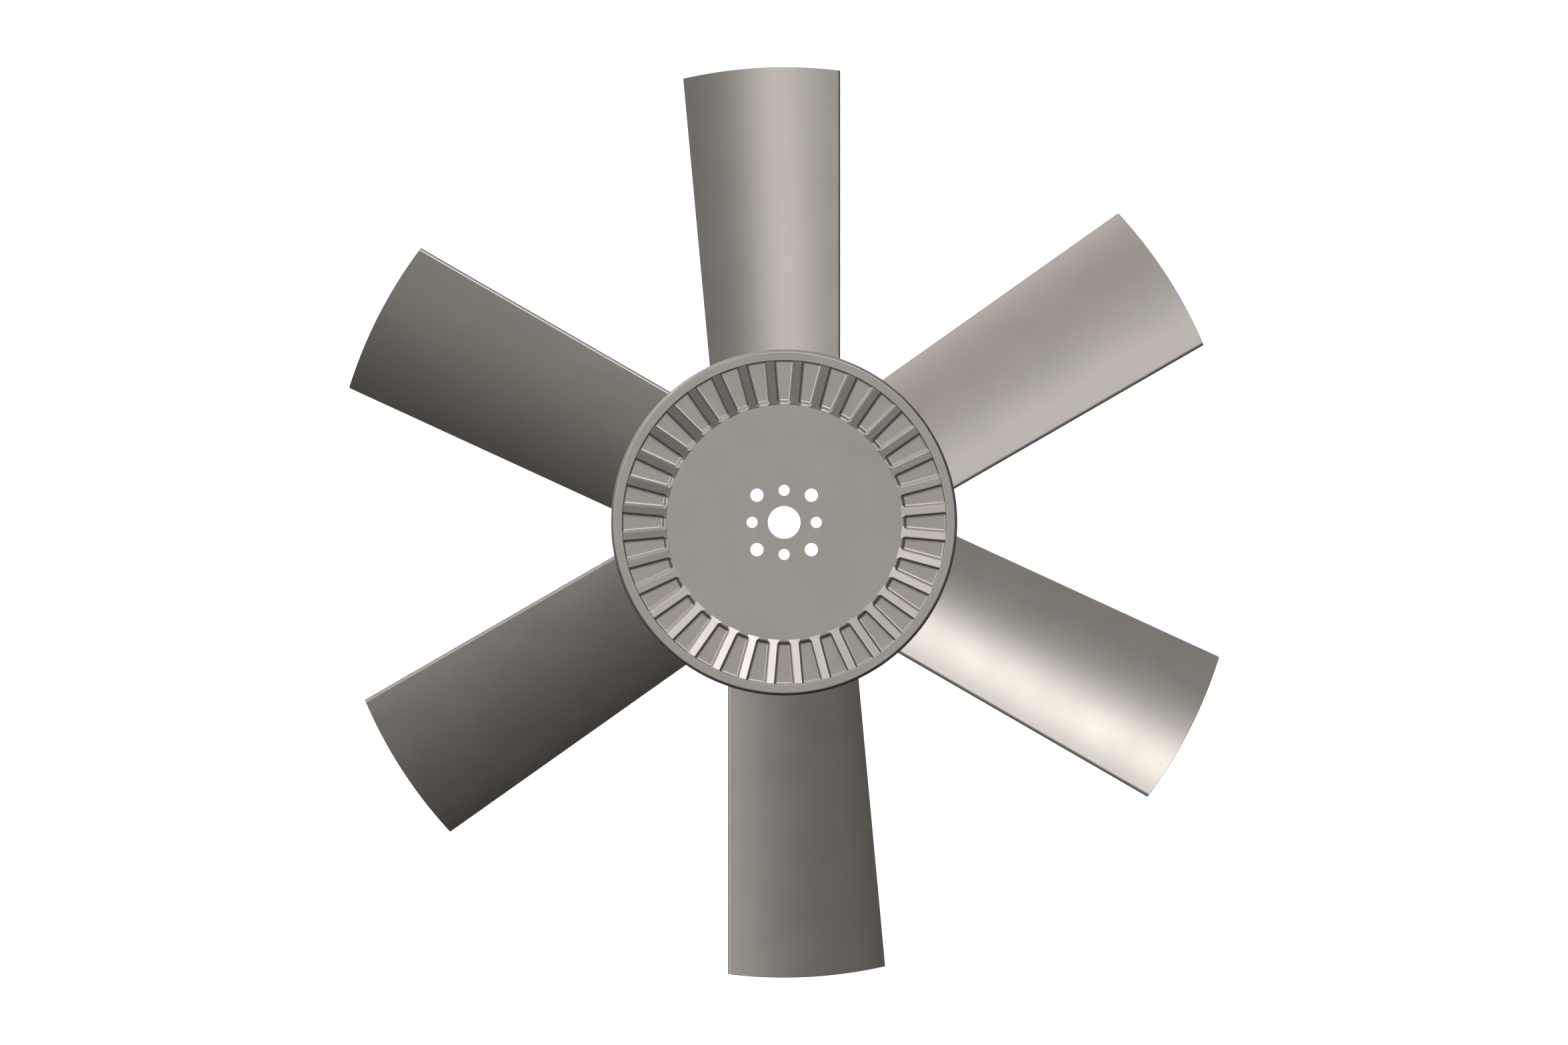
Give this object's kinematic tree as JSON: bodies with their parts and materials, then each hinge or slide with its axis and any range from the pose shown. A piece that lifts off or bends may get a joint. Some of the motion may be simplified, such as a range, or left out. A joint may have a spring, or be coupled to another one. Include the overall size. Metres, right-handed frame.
{
  "type": "axial fan impeller",
  "caption": "Cast aluminium axial fan impeller with wide curved blades on a hub drum, whose front has a ribbed dish, a central bore and bolt holes.",
  "frame": {"origin": "on the axis of the bore, level with the back rim of the hub, on which it rests", "axes": "+Z along the bore axis towards the front with the ribbed dish; +Y along the middle of one blade; seen from the front it turns clockwise"},
  "size_m": [0.6784, 0.71, 0.075],
  "materials": {
    "cast_aluminium": "satin"
  },
  "bodies": {
    "root": {"impeller": "cast_aluminium"}
  },
  "joints": []
}
